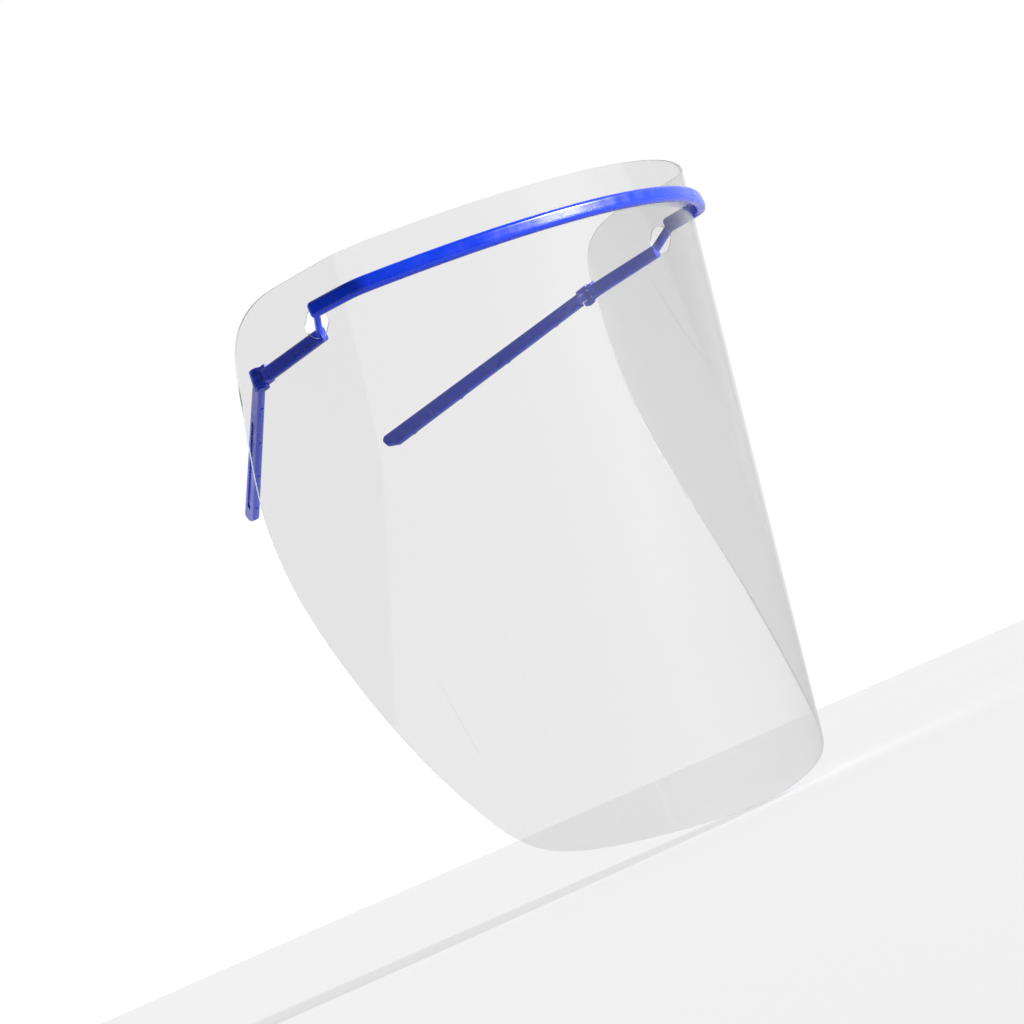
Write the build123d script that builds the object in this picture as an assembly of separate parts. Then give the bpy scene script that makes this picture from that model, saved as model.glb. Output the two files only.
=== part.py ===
# Face shield: a blue moulded spectacle-type frame with two folding temples and a clear film visor.
# Millimetres. +Z is up, -Y is the way the wearer looks, +X is the wearer's left hand side.
# The origin is midway between the two front corners of the frame, at the middle of the brow bar.
from build123d import *
from math import asin, cos, degrees, radians, sin
import os

# ---- driving dimensions: front frame ----
BAR_RADIUS = 122.0      # bow of the brow bar, to the middle of its thickness
BAR_HALF_ANGLE = 36.0   # the bow ends this far round on each side, degrees
BAR_THICK = 2.6
BAR_HEIGHT = 4.0
CORNER_RADIUS = 7.0
RETURN_ANGLE = 82.0     # heading of the short side arms outside the film, degrees from +X
RETURN_END_Y = 13.4
EDGE_ROUND = 1.1
CORNER_SHARE = 0.36     # corner radius of an arm's section, as a share of its smaller side

# ---- the step through the film ----
STEP_DROP = 5.2         # the side arm behind the film runs this far below the bar
STEP_IN = 4.6           # and this far further in
STEP_THICK = 2.2
STEP_HEIGHT = 2.4
STEP_REAR_Y = 18.6
ARM_THICK = 2.2
ARM_HEIGHT = 3.5
ARM_END_HEIGHT = 3.7    # at the hinge
STEP_SINK = 0.4         # the step starts this far inside the bar's arm, and this far below its middle
STEP_LAP = 1.2          # the arm behind starts this far forward of the step's end

# ---- hinges and temples ----
HINGE_X = 69.3
HINGE_Y = 42.1
HINGE_Z = -6.9
HINGE_LEAN = 16.0       # the hinge axis leans in at its top, so a folded temple also drops
TEMPLE_DROP = 6.9       # slope of an open temple, degrees
TEMPLE_LENGTH = 82.0    # hinge axis to tip
TEMPLE_THICK = 2.0
TEMPLE_ROOT_HEIGHT = 3.6
TEMPLE_TIP_HEIGHT = 4.6
TEMPLE_START = 2.5      # the blade of the temple starts this far behind the hinge axis
TEMPLE_ROUND = 0.8
TIP_CUT = 4.0           # the lower edge turns up this far before the tip
TIP_RISE = 1.2
NECK_LAP = 1.6          # the neck of the eye runs this far into the blade
GROOVE_SHARE = 0.62     # length of the outer groove, as a share of the temple
GROOVE_MIDDLE = 0.6     # and where its middle lies along it
GROOVE_HEIGHT = 1.3
GROOVE_RAISE = 0.2
MARK_PLACES = (0.12, 0.5, 0.88)
KNUCKLE_RADIUS = 1.9
KNUCKLE_HEIGHT = 4.8    # over both ears
EYE_HEIGHT = 1.8        # the temple's own knuckle, between the ears
EYE_GAP = 0.2
EAR_ROOT_HEIGHT = 4.2   # of the block that joins both ears to the arm
EAR_SLOT_LENGTH = 5.4   # of the slot for the eye, open at the rear
EAR_SLOT_BACK = 0.6     # its middle lies this far behind the axis
PIN_RADIUS = 0.7
PIN_RUNNING_GAP = 0.05
PIN_HEAD_RADIUS = 1.15
PIN_HEAD_HEIGHT = 0.35
LEFT_FOLD = 39.1        # the left temple rests part folded, degrees
GROOVE_DEPTH = 0.35
MARK_RADIUS = 0.75
MARK_DEPTH = 0.2

# ---- visor film ----
FILM_THICK = 0.5
FILM_GAP = 0.35         # between the film and the upper inner edge of the bar
FILM_BEND_RADIUS = 12.0
WING_X = 73.5
FILM_TOP = 9.5
FILM_LEAN = 1.45        # the top edge stands this far forward of the film at the bar
FOOT_LEVEL = -150.0     # the foot plan is drawn at this height, just under the film
FOOT_FRONT_Y = 8.0      # the film falls back towards its foot
FOOT_RADIUS = 105.0
FOOT_BOW_ANGLE = 34.0
FOOT_BEND_RADIUS = 60.0
FOOT_WING_ANGLE = 45.0  # and its wings open out
WING_RUN = 60.0         # length of each wing's line before the film is cut out
HOLE_RADIUS = 3.5
HOLE_Y = 16.2
HOLE_Z = -2.8
# side view of the sheet's edge, (Y, Z) with Y to the rear, and the headings where its curves meet
TOP_CORNER = [(24.0, FILM_TOP), (38.0, 5.0), (44.0, -8.0)]
REAR_EDGE = [(44.0, -8.0), (49.0, -36.0), (43.5, -80.0), (31.0, -124.0)]
FOOT_CORNER = [(31.0, -124.0), (25.0, -135.8), (8.0, -145.8)]
BACKWARDS = (1, 0)
DOWN_AND_BACK = (0.2, -1)
DOWN_AND_FORWARD = (-0.35, -1)
ALONG_FOOT = (-1, -0.59)
FOOT_END = (-40.0, -174.1)  # the straight foot cut runs on to here, clear of the sheet
CUT_ABOVE = 5.0

# ---- worked out ----
BAR_CENTRE_Y = BAR_RADIUS * cos(radians(BAR_HALF_ANGLE))
FILM_RADIUS = BAR_RADIUS - BAR_THICK / 2 - FILM_GAP - FILM_THICK / 2
FILM_BOW_ANGLE = degrees(asin((WING_X - FILM_BEND_RADIUS) / (FILM_RADIUS - FILM_BEND_RADIUS)))
TOP_FRONT_Y = BAR_CENTRE_Y - FILM_RADIUS - FILM_LEAN

os.makedirs("parts", exist_ok=True)


def upright_section(x, y, z, thick, height):
    """A rounded rectangle square to Y, as one station of an arm."""
    station = Plane(origin=(x, y, z), x_dir=(1, 0, 0), z_dir=(0, -1, 0))
    return station * RectangleRounded(thick, height, min(thick, height) * CORNER_SHARE)


def hinge_frame(side):
    """Local frame of a hinge: Y runs back along the open temple, Z is the pin's axis."""
    lean, drop = radians(HINGE_LEAN), radians(TEMPLE_DROP)
    axis = Vector(-side * sin(lean), sin(drop) * cos(lean), cos(drop) * cos(lean))
    along = Vector(0, cos(drop), -sin(drop))
    return Plane(origin=(side * HINGE_X, HINGE_Y, HINGE_Z), x_dir=along.cross(axis), z_dir=axis)


# ---- front frame: brow bar, corners, side arms, steps and hinge ears, one moulding ----
def bar_path():
    """Centre line of the bar, its corners and the short arms outside the film."""
    half = BAR_HALF_ANGLE
    bow = CenterArc((0, BAR_CENTRE_Y), BAR_RADIUS, 270 - half, 2 * half)
    right = JernArc(bow @ 1, bow % 1, CORNER_RADIUS, RETURN_ANGLE - half)
    reach = (RETURN_END_Y - (right @ 1).Y) / (right % 1).Y
    arm = Line(right @ 1, right @ 1 + (right % 1) * reach)
    left = [mirror(line, about=Plane.YZ).edge() for line in (right, arm)]
    return Wire([bow, right, arm] + left), arm @ 1


def brow_bar():
    path, arm_end = bar_path()
    outline = make_face(offset(path, amount=BAR_THICK / 2, side=Side.BOTH))
    bar = extrude(outline, amount=BAR_HEIGHT / 2, both=True)
    bar = fillet(bar.faces().filter_by(Axis.Z).edges(), EDGE_ROUND)
    return bar, arm_end


def side_arm(arm_end):
    """The step through the film and the arm behind it, on the +X side."""
    inner_x = arm_end.X - STEP_IN
    step = loft([
        upright_section(arm_end.X, RETURN_END_Y - STEP_SINK, -STEP_SINK, STEP_THICK, STEP_HEIGHT),
        upright_section(inner_x, STEP_REAR_Y, -STEP_DROP, STEP_THICK, STEP_HEIGHT),
    ], ruled=True)
    arm = loft([
        upright_section(inner_x, STEP_REAR_Y - STEP_LAP, -STEP_DROP, ARM_THICK, ARM_HEIGHT),
        upright_section(HINGE_X, HINGE_Y - KNUCKLE_RADIUS, HINGE_Z, ARM_THICK, ARM_END_HEIGHT),
    ], ruled=True)
    return step + arm


def hinge_ears():
    """Two ears on the +X arm with a gap for the temple's eye between them."""
    plane = hinge_frame(1)
    barrel = plane * Cylinder(KNUCKLE_RADIUS, KNUCKLE_HEIGHT)
    root_block = Box(ARM_THICK, 2 * KNUCKLE_RADIUS, EAR_ROOT_HEIGHT)
    root = plane * Pos(0, -KNUCKLE_RADIUS, 0) * root_block
    eye_room = EYE_HEIGHT + 2 * EYE_GAP
    slot = plane * Pos(0, EAR_SLOT_BACK, 0) * Box(3 * KNUCKLE_RADIUS, EAR_SLOT_LENGTH, eye_room)
    bore = plane * Cylinder(PIN_RADIUS, 2 * KNUCKLE_HEIGHT)
    return barrel + root, slot + bore


def front_frame():
    bar, arm_end = brow_bar()
    barrel, cut = hinge_ears()
    side = (side_arm(arm_end) + barrel) - cut
    return bar + side + mirror(side, about=Plane.YZ)


# ---- temples: straight blades with an eye at the front ----
def temple():
    """The +X temple, open. Its blade stands upright and its eye leans with the hinge."""
    drop = radians(TEMPLE_DROP)
    hinge = hinge_frame(1)
    tilt = (0, sin(drop), cos(drop))
    blade_frame = Plane(origin=hinge.origin, x_dir=(1, 0, 0), z_dir=tilt)
    end = TEMPLE_LENGTH
    root_half, tip_half = TEMPLE_ROOT_HEIGHT / 2, TEMPLE_TIP_HEIGHT / 2
    blade_outline = [
        (TEMPLE_START, -root_half),
        (end - TIP_CUT, -tip_half),
        (end - TIP_CUT / 5, -tip_half + TIP_RISE),
        (end, tip_half - TIP_RISE),
        (end - TIP_CUT / 4, tip_half),
        (TEMPLE_START, root_half),
    ]
    side_view = Plane(origin=hinge.origin, x_dir=blade_frame.y_dir, z_dir=blade_frame.x_dir)
    blade_face = side_view * make_face(Polyline(*blade_outline, close=True))
    blade = extrude(blade_face, amount=TEMPLE_THICK / 2, both=True)
    blade = fillet(blade.edges().filter_by(lambda edge: edge.length > 3), TEMPLE_ROUND)
    neck = hinge * Pos(0, TEMPLE_START, 0) * Box(TEMPLE_THICK, TEMPLE_START + NECK_LAP, EYE_HEIGHT)
    eye = hinge * Cylinder(KNUCKLE_RADIUS, EYE_HEIGHT)
    bore = hinge * Cylinder(PIN_RADIUS + PIN_RUNNING_GAP, 2 * EYE_HEIGHT)
    groove_box = Box(2 * GROOVE_DEPTH, end * GROOVE_SHARE, GROOVE_HEIGHT)
    groove = blade_frame * Pos(TEMPLE_THICK / 2, end * GROOVE_MIDDLE, GROOVE_RAISE) * groove_box
    mark = Rot(0, 90, 0) * Cylinder(MARK_RADIUS, 2 * MARK_DEPTH)
    marks = [blade_frame * Pos(-TEMPLE_THICK / 2, end * share, 0) * mark for share in MARK_PLACES]
    return blade + neck + eye - bore - groove - marks


# ---- hinge pins: plain with a low head at the foot ----
def hinge_pin():
    """The +X pin."""
    head_z = -KNUCKLE_HEIGHT / 2 - PIN_HEAD_HEIGHT / 2
    shank = Cylinder(PIN_RADIUS, KNUCKLE_HEIGHT)
    head = Pos(0, 0, head_z) * Cylinder(PIN_HEAD_RADIUS, PIN_HEAD_HEIGHT)
    return hinge_frame(1) * (shank + head)


# ---- visor: one sheet bent round the front, opening out towards its foot ----
def film_wall(front_y, radius, bow_angle, bend_radius, wing_angle, shift):
    """Plan line of one face of the film on the +X side, and its bow; the shift is outwards."""
    bow_angle, wing_angle = radians(bow_angle), radians(wing_angle)
    centre = Vector(0, front_y + radius)
    bend_centre = centre + Vector(sin(bow_angle), -cos(bow_angle)) * (radius - bend_radius)
    half_turn = (bow_angle + wing_angle) / 2
    start, middle, end = [
        bend_centre + Vector(sin(angle), -cos(angle)) * (bend_radius + shift)
        for angle in (bow_angle, half_turn, wing_angle)
    ]
    bow = ThreePointArc((-start.X, start.Y), (0, front_y - shift), start)
    corner = ThreePointArc(start, middle, end)
    wing = Line(end, end + Vector(cos(wing_angle), sin(wing_angle)) * WING_RUN)
    return bow, corner, wing


def film_plan(level, *plan):
    """The sheet's closed outline in plan at one height."""
    outer = film_wall(*plan, FILM_THICK / 2)
    inner = film_wall(*plan, -FILM_THICK / 2)
    rear_edge = Line(outer[2] @ 1, inner[2] @ 1)
    right = [outer[1], outer[2], rear_edge, inner[2], inner[1]]
    left = [mirror(line, about=Plane.YZ).edge() for line in right]
    return Pos(0, 0, level) * make_face(Wire([outer[0], inner[0]] + right + left))


def film_sheet():
    """The bent sheet before it is cut out, open at the back."""
    top = film_plan(FILM_TOP, TOP_FRONT_Y, FILM_RADIUS, FILM_BOW_ANGLE, FILM_BEND_RADIUS, 90.0)
    foot = film_plan(
        FOOT_LEVEL, FOOT_FRONT_Y, FOOT_RADIUS, FOOT_BOW_ANGLE, FOOT_BEND_RADIUS, FOOT_WING_ANGLE
    )
    return loft([top, foot], ruled=True)


def film_outline():
    """Side view of the film: Y to the rear, Z up. Rounded corners, and a rear edge that sweeps forward."""
    high = FILM_TOP + CUT_ABOVE
    lead = Line((TOP_CORNER[0][0], high), TOP_CORNER[0])
    corner = Spline(*TOP_CORNER, tangents=(BACKWARDS, DOWN_AND_BACK))
    rear = Spline(*REAR_EDGE, tangents=(DOWN_AND_BACK, DOWN_AND_FORWARD))
    foot = Spline(*FOOT_CORNER, tangents=(DOWN_AND_FORWARD, ALONG_FOOT))
    skirt = Line(FOOT_CORNER[-1], FOOT_END)
    front = Line(FOOT_END, (FOOT_END[0], high))
    top = Line((FOOT_END[0], high), (TOP_CORNER[0][0], high))
    face = make_face(Wire([lead, corner, rear, foot, skirt, front, top]))
    side_plane = Plane(origin=(0, 0, 0), x_dir=(0, 1, 0), z_dir=(1, 0, 0))
    return extrude(side_plane * face, amount=2 * WING_X, both=True)


def visor_film():
    hole = Pos(0, HOLE_Y, HOLE_Z) * Rot(0, 90, 0) * Cylinder(HOLE_RADIUS, 4 * WING_X)
    return (film_sheet() & film_outline()) - hole


right_temple = temple()
left_hinge = hinge_frame(-1)
left_fold = Axis(left_hinge.origin, left_hinge.z_dir)
left_temple = mirror(right_temple, about=Plane.YZ).rotate(left_fold, -LEFT_FOLD)
pin = hinge_pin()

pieces = {
    "front_frame": front_frame(),
    "right_temple": right_temple,
    "left_temple": left_temple,
    "right_hinge_pin": pin,
    "left_hinge_pin": mirror(pin, about=Plane.YZ),
    "visor_film": visor_film(),
}
for node, shape in pieces.items():
    export_step(shape, f"parts/{node}.step")
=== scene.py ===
# Clear face shield on a blue spectacle-type frame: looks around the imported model, in metres.
# +Z is up, -Y is the way the wearer looks, and +X is the wearer's left hand side.
from math import cos, pi, radians, sin

import bpy
import numpy as np
from mathutils import Matrix, Vector
from mathutils.geometry import delaunay_2d_cdt


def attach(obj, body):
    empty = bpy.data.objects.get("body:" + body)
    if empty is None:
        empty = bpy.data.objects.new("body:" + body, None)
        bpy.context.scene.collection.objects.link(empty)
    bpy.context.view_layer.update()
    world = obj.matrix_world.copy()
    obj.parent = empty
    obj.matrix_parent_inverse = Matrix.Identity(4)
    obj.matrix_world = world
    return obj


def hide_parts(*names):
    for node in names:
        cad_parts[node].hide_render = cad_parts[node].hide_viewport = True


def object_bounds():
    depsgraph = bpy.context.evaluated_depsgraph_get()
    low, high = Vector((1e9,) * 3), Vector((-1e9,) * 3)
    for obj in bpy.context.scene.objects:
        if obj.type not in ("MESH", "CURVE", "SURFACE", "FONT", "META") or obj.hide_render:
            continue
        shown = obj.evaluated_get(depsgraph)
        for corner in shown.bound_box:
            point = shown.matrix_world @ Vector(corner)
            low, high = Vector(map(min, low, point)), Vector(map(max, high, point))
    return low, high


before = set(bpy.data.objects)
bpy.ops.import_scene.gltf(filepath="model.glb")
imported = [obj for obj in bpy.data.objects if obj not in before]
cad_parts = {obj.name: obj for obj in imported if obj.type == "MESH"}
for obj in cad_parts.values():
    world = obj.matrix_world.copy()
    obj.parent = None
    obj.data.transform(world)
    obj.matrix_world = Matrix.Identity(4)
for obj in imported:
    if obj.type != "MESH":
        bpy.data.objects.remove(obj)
cad_box = [list(corner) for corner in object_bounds()]
scene = bpy.context.scene
MM = 0.001


# ---- camera and white studio ----
# A long lens stands ahead of the shield and well to its -X side, low down near the table.
# One broad low lamp is at the front on the +X side. The pale surround is brightest behind the
# shield in what it lights and mirrors, and plain white where it is seen.
CAMERA_PLACE = Vector((-0.7832, -0.5452, -0.1280))
CAMERA_RIGHT = Vector((0.572473, -0.714568, -0.402078))
CAMERA_UP = Vector((0.187698, -0.363151, 0.912628))
CAMERA_BACK = Vector((-0.798151, -0.597924, -0.073771))
CAMERA_LENS = 138.4
LAMP_FROM = Vector((0.60, -0.75, 0.30))
LAMP_STRENGTH = 7.2
LAMP_SPREAD = radians(14)
SURROUND_BEHIND = (0.6, 0.8, 0.0)
SURROUND_DIM = 0.05
SURROUND_BRIGHT = 1.0
SURROUND_EDGES = (-0.1, 0.75)
SENSOR_WIDTH = 36.0
WHITE = (1.0, 1.0, 1.0, 1.0)

lens = bpy.data.cameras.new("studio_camera")
lens.lens = CAMERA_LENS
lens.sensor_width = SENSOR_WIDTH
camera = bpy.data.objects.new("studio_camera", lens)
scene.collection.objects.link(camera)
turn = Matrix((CAMERA_RIGHT, CAMERA_UP, CAMERA_BACK)).transposed()
camera.matrix_world = Matrix.Translation(CAMERA_PLACE) @ turn.to_4x4()
scene.camera = camera
scene.view_settings.view_transform = "Standard"

lamp_light = bpy.data.lights.new("broad_lamp", "SUN")
lamp_light.energy = LAMP_STRENGTH
lamp_light.angle = LAMP_SPREAD
lamp = bpy.data.objects.new("broad_lamp", lamp_light)
lamp.rotation_euler = LAMP_FROM.to_track_quat("Z", "Y").to_euler()
scene.collection.objects.link(lamp)


def add_node(tree, kind, **settings):
    """A new node with its properties set."""
    made = tree.nodes.new(kind)
    for name, value in settings.items():
        setattr(made, name, value)
    return made


def feed(tree, source, target):
    """Links an output to an input, or sets the input to a plain value."""
    if isinstance(source, bpy.types.NodeSocket):
        tree.links.new(source, target)
    else:
        target.default_value = source


def maths(tree, operation, first, second=0.0, clamp=False):
    """One sum on two values or outputs."""
    made = add_node(tree, "ShaderNodeMath", operation=operation, use_clamp=clamp)
    feed(tree, first, made.inputs[0])
    feed(tree, second, made.inputs[1])
    return made.outputs[0]


def remap(tree, value, low, high, to_low, to_high):
    """A value between low and high becomes one between to_low and to_high, held at both ends."""
    made = add_node(tree, "ShaderNodeMapRange")
    feed(tree, value, made.inputs["Value"])
    limits = {"From Min": low, "From Max": high, "To Min": to_low, "To Max": to_high}
    for name, number in limits.items():
        made.inputs[name].default_value = number
    return made.outputs["Result"]


world = bpy.data.worlds.new("pale_surround")
world.use_nodes = True
scene.world = world
tree = world.node_tree
tree.nodes.clear()
direction = add_node(tree, "ShaderNodeTexCoord").outputs["Generated"]
facing_back = add_node(tree, "ShaderNodeVectorMath", operation="DOT_PRODUCT")
tree.links.new(direction, facing_back.inputs[0])
facing_back.inputs[1].default_value = SURROUND_BEHIND
glow = remap(tree, facing_back.outputs["Value"], *SURROUND_EDGES, SURROUND_DIM, SURROUND_BRIGHT)
seen = add_node(tree, "ShaderNodeLightPath").outputs["Is Camera Ray"]
strength = maths(tree, "MAXIMUM", glow, seen)
surround = add_node(tree, "ShaderNodeBackground")
feed(tree, strength, surround.inputs["Strength"])
surround.inputs["Color"].default_value = WHITE
world_out = add_node(tree, "ShaderNodeOutputWorld")
tree.links.new(surround.outputs[0], world_out.inputs["Surface"])


# ---- floor ----
# The table just under the visor's lower edge: a wide matt white sheet,
# with a very faint change of tone across it.
FLOOR_HALF = 4.0
FLOOR_DROP = 0.0006
FLOOR_TONES = ((0.83, 0.83, 0.84), (0.86, 0.86, 0.86))
FLOOR_PATCHES = 3.0
FLOOR_ROUGHNESS = 0.8
FLOOR_CORNERS = ((-1, -1), (1, -1), (1, 1), (-1, 1))
floor_z = cad_box[0][2] - FLOOR_DROP


def material(name):
    """A new empty node material, with its output."""
    made = bpy.data.materials.new(name)
    made.use_nodes = True
    made.node_tree.nodes.clear()
    out = add_node(made.node_tree, "ShaderNodeOutputMaterial")
    return made, made.node_tree, out


def mottle(tree, scale, detail=2.0, stretch=(1.0, 1.0, 1.0), shift=(0.0, 0.0, 0.0)):
    """Noise over the piece's own coordinates, per metre."""
    place = add_node(tree, "ShaderNodeTexCoord").outputs["Object"]
    mapping = add_node(tree, "ShaderNodeMapping")
    tree.links.new(place, mapping.inputs["Vector"])
    mapping.inputs["Scale"].default_value = stretch
    mapping.inputs["Location"].default_value = shift
    noise = add_node(tree, "ShaderNodeTexNoise")
    tree.links.new(mapping.outputs[0], noise.inputs["Vector"])
    noise.inputs["Scale"].default_value = scale
    noise.inputs["Detail"].default_value = detail
    return noise.outputs["Fac"]


def two_tone(tree, amount, first, second):
    """A colour between two, by amount. The mix node's colours are its sockets 6 and 7."""
    made = add_node(tree, "ShaderNodeMix", data_type="RGBA")
    feed(tree, amount, made.inputs["Factor"])
    made.inputs[6].default_value = (*first, 1.0)
    made.inputs[7].default_value = (*second, 1.0)
    return made.outputs[2]


floor_mesh = bpy.data.meshes.new("table_top")
corners = [(x * FLOOR_HALF, y * FLOOR_HALF, floor_z) for x, y in FLOOR_CORNERS]
floor_mesh.from_pydata(corners, [], [(0, 1, 2, 3)])
floor = bpy.data.objects.new("table_top", floor_mesh)
scene.collection.objects.link(floor)
floor_paint, tree, out = material("matt_white_table")
shade = add_node(tree, "ShaderNodeBsdfPrincipled")
feed(tree, two_tone(tree, mottle(tree, FLOOR_PATCHES), *FLOOR_TONES), shade.inputs["Base Color"])
shade.inputs["Roughness"].default_value = FLOOR_ROUGHNESS
tree.links.new(shade.outputs[0], out.inputs["Surface"])
floor_mesh.materials.append(floor_paint)


# ---- brow bar, side arms and temples ----
# Injection-moulded polycarbonate in a pure deep blue, glossy from a polished mould.
# Its colour shifts a little from place to place, and its gloss as if it had been handled.
BLUE_DEEP = (0.0010, 0.030, 0.56)
BLUE_BRIGHT = (0.0016, 0.042, 0.70)
PLASTIC_IOR = 1.585
PLASTIC_SHINE = 0.3
GLOSS = 0.2
WORN_GLOSS = 0.14
FLOW_SCALE = 55.0
HANDLING_SCALE = 160.0
HANDLING_SHIFT = (0.4, 0.1, 0.2)
SKIN_SCALE = 900.0
SKIN_STRENGTH = 0.12
SKIN_DEPTH = 0.0001


def moulded_plastic(name, deep, bright, gloss=GLOSS):
    """Glossy plastic: a slow change of colour, uneven gloss and a fine skin."""
    made, tree, out = material(name)
    shade = add_node(tree, "ShaderNodeBsdfPrincipled")
    flow = mottle(tree, FLOW_SCALE, 3.0)
    colour = two_tone(tree, remap(tree, flow, 0.3, 0.7, 0.0, 1.0), deep, bright)
    feed(tree, colour, shade.inputs["Base Color"])
    handled = mottle(tree, HANDLING_SCALE, 4.0, shift=HANDLING_SHIFT)
    feed(tree, remap(tree, handled, 0.35, 0.7, gloss, gloss + WORN_GLOSS), shade.inputs["Roughness"])
    shade.inputs["IOR"].default_value = PLASTIC_IOR
    shade.inputs["Specular IOR Level"].default_value = PLASTIC_SHINE
    skin = add_node(tree, "ShaderNodeBump")
    skin.inputs["Strength"].default_value = SKIN_STRENGTH
    skin.inputs["Distance"].default_value = SKIN_DEPTH
    feed(tree, mottle(tree, SKIN_SCALE, 3.0), skin.inputs["Height"])
    tree.links.new(skin.outputs[0], shade.inputs["Normal"])
    tree.links.new(shade.outputs[0], out.inputs["Surface"])
    return made


def paint(node, finish):
    """Gives a carried-over part its finish in every slot."""
    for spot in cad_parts[node].material_slots:
        spot.material = finish


frame_blue = moulded_plastic("moulded_blue", BLUE_DEEP, BLUE_BRIGHT)
for node in ("front_frame", "right_temple", "left_temple"):
    paint(node, frame_blue)


# ---- hinge pins ----
# Short pins of the same plastic, pressed through both ears of a hinge.
# They are a little darker and duller than the frame.
PIN_DEEP = (0.0010, 0.024, 0.42)
PIN_BRIGHT = (0.0014, 0.032, 0.52)
PIN_GLOSS = 0.3

pin_blue = moulded_plastic("pin_blue", PIN_DEEP, PIN_BRIGHT, gloss=PIN_GLOSS)
for node in ("right_hinge_pin", "left_hinge_pin"):
    paint(node, pin_blue)


# ---- parting line of the brow bar ----
# The two halves of the mould leave a fine raised line along the bar's outer face,
# below the middle of its height, round both front corners.
BAR_RADIUS = 122.0
BAR_HALF = radians(36.0)
BAR_HALF_THICK = 1.3
CORNER_RADIUS = 7.0
LINE_Z = -0.7
LINE_RADIUS = 0.10
LINE_STEP = 1.2
LINE_SIDES = 8
LINE_END_TURN = radians(80)
BAR_CENTRE_Y = BAR_RADIUS * cos(BAR_HALF)


def bar_face(step):
    """Points along the bar's outer face, from one front corner to the other."""
    outer = BAR_RADIUS + BAR_HALF_THICK
    bend = CORNER_RADIUS + BAR_HALF_THICK
    half = []
    for angle in np.arange(0.0, BAR_HALF, step / outer):
        half.append((outer * sin(angle), BAR_CENTRE_Y - outer * cos(angle)))
    reach = BAR_RADIUS - CORNER_RADIUS
    bend_x, bend_y = reach * sin(BAR_HALF), BAR_CENTRE_Y - reach * cos(BAR_HALF)
    for angle in np.arange(BAR_HALF, LINE_END_TURN, step / bend):
        half.append((bend_x + bend * sin(angle), bend_y - bend * cos(angle)))
    return [(-x, y) for x, y in reversed(half[1:])] + half


def node_group(name, sizes):
    """An empty Geometry Nodes tree with a geometry input and output and named size inputs."""
    made = bpy.data.node_groups.new(name, "GeometryNodeTree")
    made.interface.new_socket("Geometry", in_out="INPUT", socket_type="NodeSocketGeometry")
    for label, value in sizes.items():
        kind = "NodeSocketInt" if isinstance(value, int) else "NodeSocketFloat"
        made.interface.new_socket(label, in_out="INPUT", socket_type=kind)
    made.interface.new_socket("Geometry", in_out="OUTPUT", socket_type="NodeSocketGeometry")
    start = add_node(made, "NodeGroupInput")
    end = add_node(made, "NodeGroupOutput")
    return made, start.outputs, end.inputs[0]


def join_up(group, links):
    """Makes a tree's links, each from an output to an input."""
    for source, target in links:
        group.links.new(source, target)


def grown(name, base, group, sizes):
    """Runs a tree on a base mesh and returns the plain mesh that it makes."""
    carrier = bpy.data.objects.new(name + "_base", base)
    scene.collection.objects.link(carrier)
    modifier = carrier.modifiers.new(name, "NODES")
    modifier.node_group = group
    for item in group.interface.items_tree:
        if item.in_out == "INPUT" and item.name in sizes:
            modifier[item.identifier] = sizes[item.name]
    depsgraph = bpy.context.evaluated_depsgraph_get()
    mesh = bpy.data.meshes.new_from_object(carrier.evaluated_get(depsgraph))
    bpy.data.objects.remove(carrier)
    mesh.name = name
    return mesh


def place_piece(name, mesh, body):
    """Puts a finished mesh in the scene, riding on its body."""
    piece = bpy.data.objects.new(name, mesh)
    scene.collection.objects.link(piece)
    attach(piece, body)
    return piece


line_sizes = {"Step": LINE_STEP * MM, "Radius": LINE_RADIUS * MM}
group, given, result = node_group("parting_line", line_sizes)
path = add_node(group, "GeometryNodeMeshToCurve")
even = add_node(group, "GeometryNodeResampleCurve", mode="LENGTH")
bead = add_node(group, "GeometryNodeCurvePrimitiveCircle")
sweep = add_node(group, "GeometryNodeCurveToMesh")
real = add_node(group, "GeometryNodeRealizeInstances")
coat = add_node(group, "GeometryNodeSetMaterial")
bead.inputs["Resolution"].default_value = LINE_SIDES
sweep.inputs["Fill Caps"].default_value = True
coat.inputs["Material"].default_value = frame_blue
join_up(group, (
    (given["Geometry"], path.inputs["Mesh"]),
    (path.outputs[0], even.inputs["Curve"]),
    (given["Step"], even.inputs["Length"]),
    (given["Radius"], bead.inputs["Radius"]),
    (even.outputs[0], sweep.inputs["Curve"]),
    (bead.outputs["Curve"], sweep.inputs["Profile Curve"]),
    (sweep.outputs[0], real.inputs[0]),
    (real.outputs[0], coat.inputs["Geometry"]),
    (coat.outputs[0], result),
))

trail = bpy.data.meshes.new("parting_trail")
trail_points = [(x * MM, y * MM, LINE_Z * MM) for x, y in bar_face(LINE_STEP)]
trail.from_pydata(trail_points, [(i, i + 1) for i in range(len(trail_points) - 1)], [])
line_mesh = grown("parting_line", trail, group, line_sizes)
place_piece("parting_line", line_mesh, "frame")


# ---- ejector marks under the temples ----
# Small round pads where the mould's ejector pins pushed each temple out, evenly spaced
# along its lower edge.
HINGE = Vector((69.3, 42.1, -6.9))
TEMPLE_DROP = radians(6.9)
LEFT_AXIS = Vector((0.275637, 0.115483, 0.954300))
LEFT_FOLD = radians(39.1)
MARK_COUNT = 4
MARK_FIRST = 13.0
MARK_SPACING = 19.5
MARK_RADIUS = 0.5
MARK_PROUD = 0.12
MARK_HEIGHT = 0.4
MARK_SIDES = 24
ROOT_HALF_HEIGHT = 1.8
HALF_HEIGHT_GAIN = 0.5 / 75.0

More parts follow.
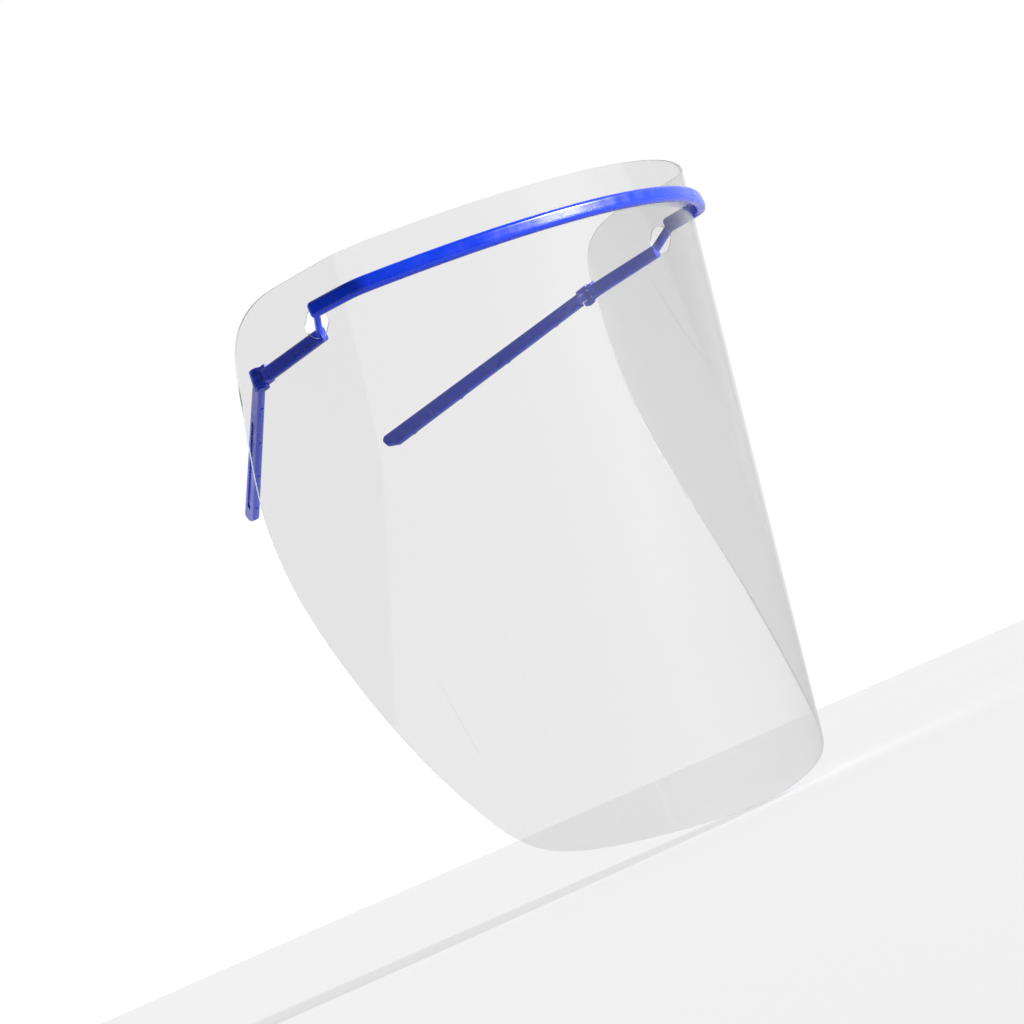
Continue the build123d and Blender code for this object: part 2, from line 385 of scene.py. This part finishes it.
mark_sizes = {
    "Count": MARK_COUNT,
    "Spacing": MARK_SPACING * MM,
    "Radius": MARK_RADIUS * MM,
    "Height": MARK_HEIGHT * MM,
}
group, given, result = node_group("ejector_marks", mark_sizes)
row = add_node(group, "GeometryNodeMeshLine", mode="OFFSET")
gap = add_node(group, "ShaderNodeCombineXYZ")
pad = add_node(group, "GeometryNodeMeshCylinder")
scatter = add_node(group, "GeometryNodeInstanceOnPoints")
real = add_node(group, "GeometryNodeRealizeInstances")
coat = add_node(group, "GeometryNodeSetMaterial")
pad.inputs["Vertices"].default_value = MARK_SIDES
coat.inputs["Material"].default_value = frame_blue
join_up(group, (
    (given["Count"], row.inputs["Count"]),
    (given["Spacing"], gap.inputs["Y"]),
    (gap.outputs[0], row.inputs["Offset"]),
    (given["Radius"], pad.inputs["Radius"]),
    (given["Height"], pad.inputs["Depth"]),
    (row.outputs[0], scatter.inputs["Points"]),
    (pad.outputs["Mesh"], scatter.inputs["Instance"]),
    (scatter.outputs[0], real.inputs[0]),
    (real.outputs[0], coat.inputs["Geometry"]),
    (coat.outputs[0], result),
))

slope = Matrix.Rotation(-TEMPLE_DROP, 4, "X")
first_half = ROOT_HALF_HEIGHT + MARK_FIRST * HALF_HEIGHT_GAIN
mark_middle = MARK_HEIGHT / 2 - MARK_PROUD - first_half
first_mark = Matrix.Translation(Vector((0.0, MARK_FIRST, mark_middle)) * MM)
along_edge = Matrix.Rotation(-HALF_HEIGHT_GAIN, 4, "X")
at_hinge = Matrix.Translation(HINGE * MM)
right_place = at_hinge @ slope @ first_mark @ along_edge
left_hinge = Vector((-HINGE.x, HINGE.y, HINGE.z)) * MM
fold = Matrix.Rotation(-LEFT_FOLD, 4, LEFT_AXIS)
folded = Matrix.Translation(left_hinge) @ fold @ Matrix.Translation(-left_hinge)
mirrored = Matrix.Scale(-1, 4, Vector((1, 0, 0)))
for side, place in (("right", right_place), ("left", folded @ mirrored @ right_place)):
    mesh = grown(side + "_ejector_marks", bpy.data.meshes.new("mark_seed"), group, mark_sizes)
    mesh.transform(place)
    if place.is_negative:
        mesh.flip_normals()
    place_piece(side + "_ejector_marks", mesh, side + "_temple_arm")


# ---- clear visor film ----
# One flat sheet of clear film, die-cut with rounded corners and two round holes, then bent
# round the brow bar. Only the frame holds it, so below the bar it falls back and opens out.
FILM_THICK = 0.5
FILM_TOP = 9.5
BOW_RADIUS = 120.1
BOW_TURN = 0.6052
BEND_RADIUS = 12.0
TOP_PLAN = {"front": -22.85, "radius": BOW_RADIUS, "turn": BOW_TURN, "bend": BEND_RADIUS, "wing": pi / 2}
FOOT_LEVEL = -150.0
FOOT_PLAN = {"front": 8.0, "radius": 105.0, "turn": radians(34), "bend": 60.0, "wing": radians(45)}
WING_RUN = 60.0
FILM_CELL = 2.4
HOLE_RADIUS = 3.5
HOLE_Y = 16.2
HOLE_Z = -2.8
TOP_CORNER = [(24.0, 9.5), (38.0, 5.0), (44.0, -8.0)]
REAR_EDGE = [(44.0, -8.0), (49.0, -36.0), (43.5, -80.0), (31.0, -124.0)]
FOOT_CORNER = [(31.0, -124.0), (25.0, -135.8), (8.0, -145.8)]
FOOT_SLOPE = 0.59
TOP_HEADINGS = ((1, 0), (0.2, -1))
REAR_HEADINGS = ((0.2, -1), (-0.35, -1))
FOOT_HEADINGS = ((-0.35, -1), (-1, -FOOT_SLOPE))
CORNER_STEP = 1.2
FOOT_STEPS = 40
HOLE_SIDES = 48
HOLE_CLEAR = 0.8
HOLE_TRIM = 0.97
EDGE_CLEAR = 0.55
GRID_REACH = 150.0
FACING_STEP = 0.05
HALVINGS = 40
SLOPE_ROUNDS = 20
TRIANGULATION_KIND = 2
SAME_POINT = 1e-5
BOW_LENGTH = BOW_RADIUS * BOW_TURN
BEND_LENGTH = BEND_RADIUS * (pi / 2 - BOW_TURN)


def in_plan(plan, along):
    """A point of one plan line; along counts in millimetres of the top line."""
    radius, bend, turn = plan["radius"], plan["bend"], plan["turn"]
    centre = plan["front"] + radius
    if along <= BOW_LENGTH:
        angle = turn * along / BOW_LENGTH
        return np.array((radius * sin(angle), centre - radius * cos(angle)))
    share = min((along - BOW_LENGTH) / BEND_LENGTH, 1.0)
    angle = turn + (plan["wing"] - turn) * share
    straight = max(0.0, along - BOW_LENGTH - BEND_LENGTH)
    x = (radius - bend) * sin(turn) + bend * sin(angle) + straight * cos(angle)
    y = centre - (radius - bend) * cos(turn) - bend * cos(angle) + straight * sin(angle)
    return np.array((x, y))


def bent(along, z):
    """Where a point of the sheet goes once it is bent."""
    share = (FILM_TOP - z) / (FILM_TOP - FOOT_LEVEL)
    run = abs(along)
    x, y = (1 - share) * in_plan(TOP_PLAN, run) + share * in_plan(FOOT_PLAN, run)
    return Vector((-x if along < 0 else x, y, z))


def facing(along, z):
    """The outward direction of the bent sheet."""
    across = bent(along + FACING_STEP, z) - bent(along - FACING_STEP, z)
    upward = bent(along, z + FACING_STEP) - bent(along, z - FACING_STEP)
    return across.cross(upward).normalized()


def flattened(y, z):
    """How far along the sheet a point of the bent one is, by its Y and height."""
    near, far = 0.0, BOW_LENGTH + BEND_LENGTH + WING_RUN
    for _ in range(HALVINGS):
        middle = (near + far) / 2
        if bent(middle, z).y < y:
            near = middle
        else:
            far = middle
    return near


def smooth_through(points, first, last, step):
    """A clamped cubic spline through the points, leaving and arriving along the two headings."""
    points = np.array(points)
    spans = np.linalg.norm(np.diff(points, axis=0), axis=1)
    count = len(points)
    rows = np.zeros((count, count))
    wanted = np.zeros((count, 2))
    rows[0, 0] = rows[-1, -1] = 1.0
    wanted[0] = np.array(first) / np.linalg.norm(first)
    wanted[-1] = np.array(last) / np.linalg.norm(last)
    for i in range(1, count - 1):
        before, after = spans[i - 1], spans[i]
        rows[i, i - 1 : i + 2] = (after, 2 * (before + after), before)
        rise = after * (points[i] - points[i - 1]) / before + before * (points[i + 1] - points[i]) / after
        wanted[i] = 3 * rise
    slopes = np.linalg.solve(rows, wanted)
    line = []
    for i in range(count - 1):
        share = np.linspace(0, 1, max(3, int(spans[i] / step)), endpoint=False)[:, None]
        start, end = points[i], points[i + 1]
        out_slope, in_slope = slopes[i] * spans[i], slopes[i + 1] * spans[i]
        line.append(
            (2 * share**3 - 3 * share**2 + 1) * start
            + (share**3 - 2 * share**2 + share) * out_slope
            + (3 * share**2 - 2 * share**3) * end
            + (share**3 - share**2) * in_slope
        )
    return np.vstack(line + [points[-1:]])


def sheet_outline():
    """The sheet's outline as (along, height), from the middle of its top edge round to its foot and back."""
    corner = smooth_through(TOP_CORNER, *TOP_HEADINGS, CORNER_STEP)[:-1]
    rear = smooth_through(REAR_EDGE, *REAR_HEADINGS, FILM_CELL)[:-1]
    foot = smooth_through(FOOT_CORNER, *FOOT_HEADINGS, CORNER_STEP)[:-1]
    top_reach = flattened(*TOP_CORNER[0])
    top = [(along, FILM_TOP) for along in np.arange(0.0, top_reach - 1.0, FILM_CELL)]
    side = [(flattened(y, z), z) for y, z in np.vstack([corner, rear, foot])]
    end_y, end_z = FOOT_CORNER[-1]
    base = []
    for along in np.linspace(flattened(end_y, end_z), 0.0, FOOT_STEPS):
        z = end_z
        for _ in range(SLOPE_ROUNDS):
            z = end_z + FOOT_SLOPE * (bent(along, z).y - end_y)
        base.append((along, z))
    half = top + side + base
    return half + [(-along, z) for along, z in reversed(half[1:-1])]


def film_mesh():
    """The cut and bent sheet as one closed mesh: an outer wall, an inner wall and their edges."""
    outline = sheet_outline()
    rings = [outline]
    for side in (-1, 1):
        circle = [radians(360 * i / HOLE_SIDES) for i in range(HOLE_SIDES)]
        hole = [(HOLE_Y + HOLE_RADIUS * cos(a), HOLE_Z + HOLE_RADIUS * sin(a)) for a in circle]
        rings.append([(side * flattened(y, z), z) for y, z in hole])
    points, edges = [], []
    for ring in rings:
        first = len(points)
        points += ring
        edges += [(first + i, first + (i + 1) % len(ring)) for i in range(len(ring))]
    fence = np.array(outline)
    hole_at = flattened(HOLE_Y, HOLE_Z)
    hole_room = (HOLE_RADIUS + HOLE_CLEAR) ** 2
    edge_room = (EDGE_CLEAR * FILM_CELL) ** 2
    for along in np.arange(-GRID_REACH, GRID_REACH, FILM_CELL):
        for z in np.arange(-GRID_REACH, FILM_TOP, FILM_CELL):
            near_hole = (abs(along) - hole_at) ** 2 + (z - HOLE_Z) ** 2 < hole_room
            near_edge = ((fence - (along, z)) ** 2).sum(axis=1).min() < edge_room
            if not near_hole and not near_edge:
                points.append((along, z))
    spread = [Vector(point) for point in points]
    cut = delaunay_2d_cdt(spread, edges, [], TRIANGULATION_KIND, SAME_POINT)
    flat, _, triangles, _, _, _ = cut
    # Some triangles just inside a hole's ring pass this test and stay, so the holes aren't quite round.
    kept = []
    for tri in triangles:
        middle = sum((flat[i] for i in tri), Vector((0, 0))) / 3
        if (abs(middle.x) - hole_at) ** 2 + (middle.y - HOLE_Z) ** 2 > (HOLE_TRIM * HOLE_RADIUS) ** 2:
            kept.append(tri)
    used_points = sorted({i for tri in kept for i in tri})
    renumbered = {old: new for new, old in enumerate(used_points)}
    kept = [tuple(renumbered[i] for i in tri) for tri in kept]
    flat = [flat[i] for i in used_points]
    count = len(flat)
    places = [bent(along, z) for along, z in flat]
    outward = [facing(along, z) for along, z in flat]
    half = FILM_THICK / 2
    spots = [(place + way * half) * MM for place, way in zip(places, outward)]
    spots += [(place - way * half) * MM for place, way in zip(places, outward)]
    facings = outward + [-way for way in outward]
    sides = {(a, b): None for tri in kept for a, b in zip(tri, tri[1:] + tri[:1])}
    rim = [(a, b) for a, b in sides if (b, a) not in sides]
    faces = [tuple(tri) for tri in kept]
    faces += [tuple(i + count for i in reversed(tri)) for tri in kept]
    faces += [(b, a, a + count, b + count) for a, b in rim]
    mesh = bpy.data.meshes.new("clear_visor_film")
    mesh.from_pydata(spots, [], faces)
    walls = 2 * len(kept)
    normals = []
    for face in mesh.polygons:
        face.use_smooth = face.index < walls
        face.material_index = 0 if face.index < walls else 1
        normals += [facings[i] if face.index < walls else face.normal for i in face.vertices]
    mesh.normals_split_custom_set(normals)
    return mesh


FILM_TINT = (0.912, 0.912, 0.912, 1.0)
HAZE_TONE = (0.80, 0.81, 0.83, 1.0)
FILM_ROUGHNESS = 0.05
SCRATCH_WIDTH = 0.0018
SCRATCH_STRENGTH = 0.10
SMUDGE_RANGE = (0.002, 0.008)
MIRROR_FLAT = 0.035
MIRROR_EDGE_ON = 0.7
CUT_TONES = ((0.42, 0.44, 0.47), (0.60, 0.62, 0.64))
CUT_GRAIN = 400.0
CUT_ROUGHNESS = 0.45


def film_clear():
    """Two walls of clear film: a slight grey tint, mirror gloss, a trace of haze and fine scratches."""
    made, tree, out = material("clear_film")
    through = add_node(tree, "ShaderNodeBsdfTransparent")
    through.inputs["Color"].default_value = FILM_TINT
    haze = add_node(tree, "ShaderNodeBsdfDiffuse")
    haze.inputs["Color"].default_value = HAZE_TONE
    gloss = add_node(tree, "ShaderNodeBsdfGlossy")
    gloss.inputs["Roughness"].default_value = FILM_ROUGHNESS
    lines = mottle(tree, 26.0, 1.0, stretch=(1.0, 1.0, 0.12), shift=(0.3, 0.0, 0.1))
    off_line = maths(tree, "ABSOLUTE", maths(tree, "SUBTRACT", lines, 0.5))
    thin = remap(tree, off_line, 0.0, SCRATCH_WIDTH, 1.0, 0.0)
    patches = remap(tree, mottle(tree, 14.0, 2.0, shift=(0.0, 0.7, 0.0)), 0.52, 0.66, 0.0, 1.0)
    scratches = maths(tree, "MULTIPLY", thin, patches)
    smudges = remap(tree, mottle(tree, 20.0, 3.0, shift=(0.2, 0.2, 0.9)), 0.5, 0.8, *SMUDGE_RANGE)
    milky = maths(tree, "ADD", smudges, maths(tree, "MULTIPLY", scratches, SCRATCH_STRENGTH))
    body = add_node(tree, "ShaderNodeMixShader")
    feed(tree, milky, body.inputs[0])
    tree.links.new(through.outputs[0], body.inputs[1])
    tree.links.new(haze.outputs[0], body.inputs[2])
    edge_on = add_node(tree, "ShaderNodeLayerWeight")
    edge_on.inputs["Blend"].default_value = 0.5
    steep = maths(tree, "POWER", edge_on.outputs["Facing"], 5.0)
    mirror = maths(tree, "ADD", maths(tree, "MULTIPLY", steep, MIRROR_EDGE_ON), MIRROR_FLAT, clamp=True)
    both = add_node(tree, "ShaderNodeMixShader")
    feed(tree, mirror, both.inputs[0])
    tree.links.new(body.outputs[0], both.inputs[1])
    tree.links.new(gloss.outputs[0], both.inputs[2])
    tree.links.new(both.outputs[0], out.inputs["Surface"])
    return made


def film_edge():
    """The cut edge of the film, frosted by the die."""
    made, tree, out = material("film_cut_edge")
    shade = add_node(tree, "ShaderNodeBsdfPrincipled")
    tone = two_tone(tree, mottle(tree, CUT_GRAIN), *CUT_TONES)
    feed(tree, tone, shade.inputs["Base Color"])
    shade.inputs["Roughness"].default_value = CUT_ROUGHNESS
    tree.links.new(shade.outputs[0], out.inputs["Surface"])
    return made


film = film_mesh()
film.materials.append(film_clear())
film.materials.append(film_edge())
visor = place_piece("clear_visor_film", film, "frame")
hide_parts("visor_film")
